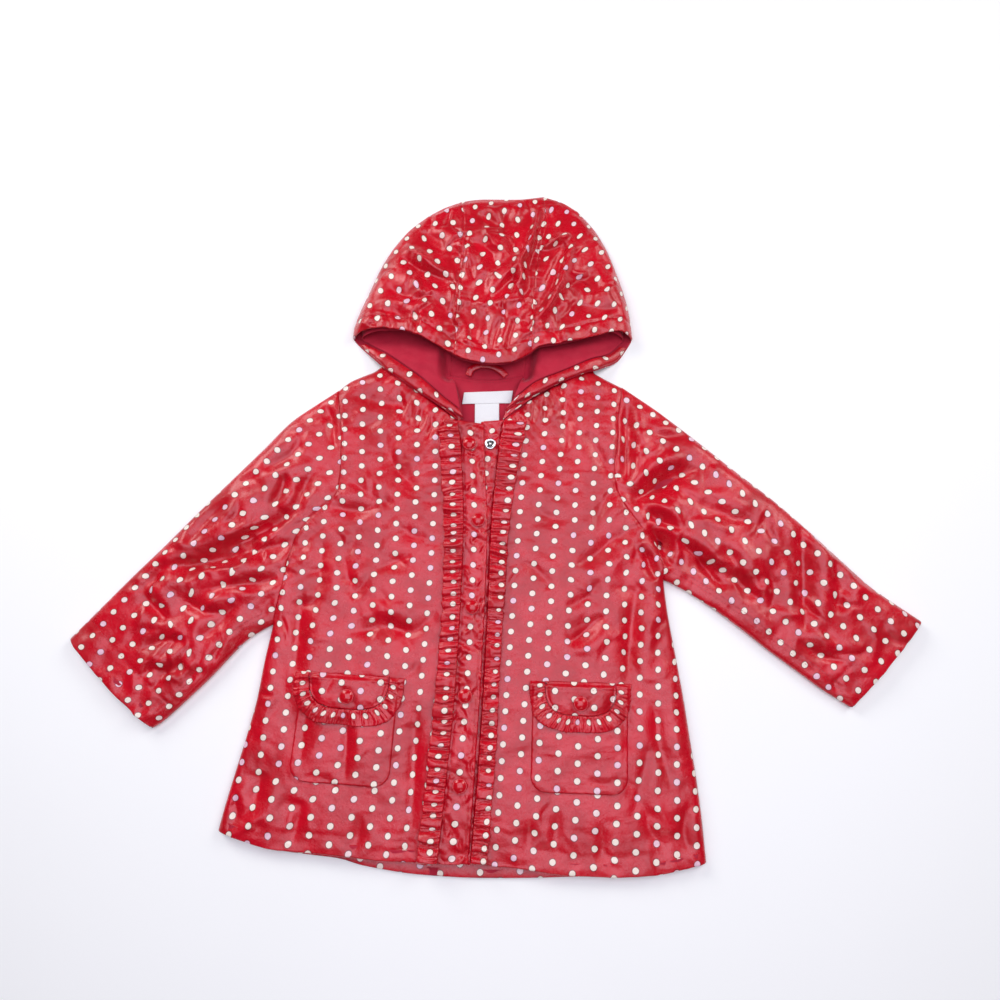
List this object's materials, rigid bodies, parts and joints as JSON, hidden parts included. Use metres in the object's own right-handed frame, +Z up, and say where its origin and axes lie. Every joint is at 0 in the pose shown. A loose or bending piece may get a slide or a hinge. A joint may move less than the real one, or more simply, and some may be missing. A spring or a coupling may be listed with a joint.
{
  "type": "toddler raincoat",
  "caption": "Hooded toddler raincoat in red coated cotton with pale dots, laid flat on its back: ruffled snap placket, ruffled pocket flaps, hood turned out at the neck.",
  "frame": {"origin": "on the surface the coat lies on, under the middle of its bounding box in plan", "axes": "+Z up from the surface it lies on, +Y from the hem to the hood, +X to the viewer's right, towards the wearer's left sleeve"},
  "size_m": [0.8, 0.6711, 0.025],
  "materials": {
    "shell": "shiny coated plain-weave cotton, red with cream dots",
    "lining": "matte crimson plain lining",
    "label": "smooth white woven tape, blank",
    "snap_cap": "semi-gloss red",
    "snap_metal": "bright pressed metal"
  },
  "bodies": {
    "root": {"front_right": "shell", "front_left": "shell", "back": "shell", "sleeve_right": "shell", "sleeve_left": "shell", "placket_left": "shell", "placket_right": "shell", "ruffle_right": "shell", "ruffle_left": "shell", "pocket_right": "shell", "pocket_left": "shell", "flap_right": "shell", "flap_left": "shell", "flap_ruffle_right": "shell", "flap_ruffle_left": "shell", "hood_side_right": "shell", "hood_side_left": "shell", "hood_centre": "shell", "hood_facing_right": "shell", "hood_facing_left": "shell", "hanging_loop": "shell", "hood_lining": "lining", "back_lining": "lining", "label_wide": "label", "label_care": "label", "snap_cap_1": "snap_cap", "snap_cap_2": "snap_cap", "snap_cap_3": "snap_cap", "snap_cap_4": "snap_cap", "snap_cap_5": "snap_cap", "snap_cap_pocket_right": "snap_cap", "snap_cap_pocket_left": "snap_cap", "snap_socket": "snap_metal"}
  },
  "joints": []
}
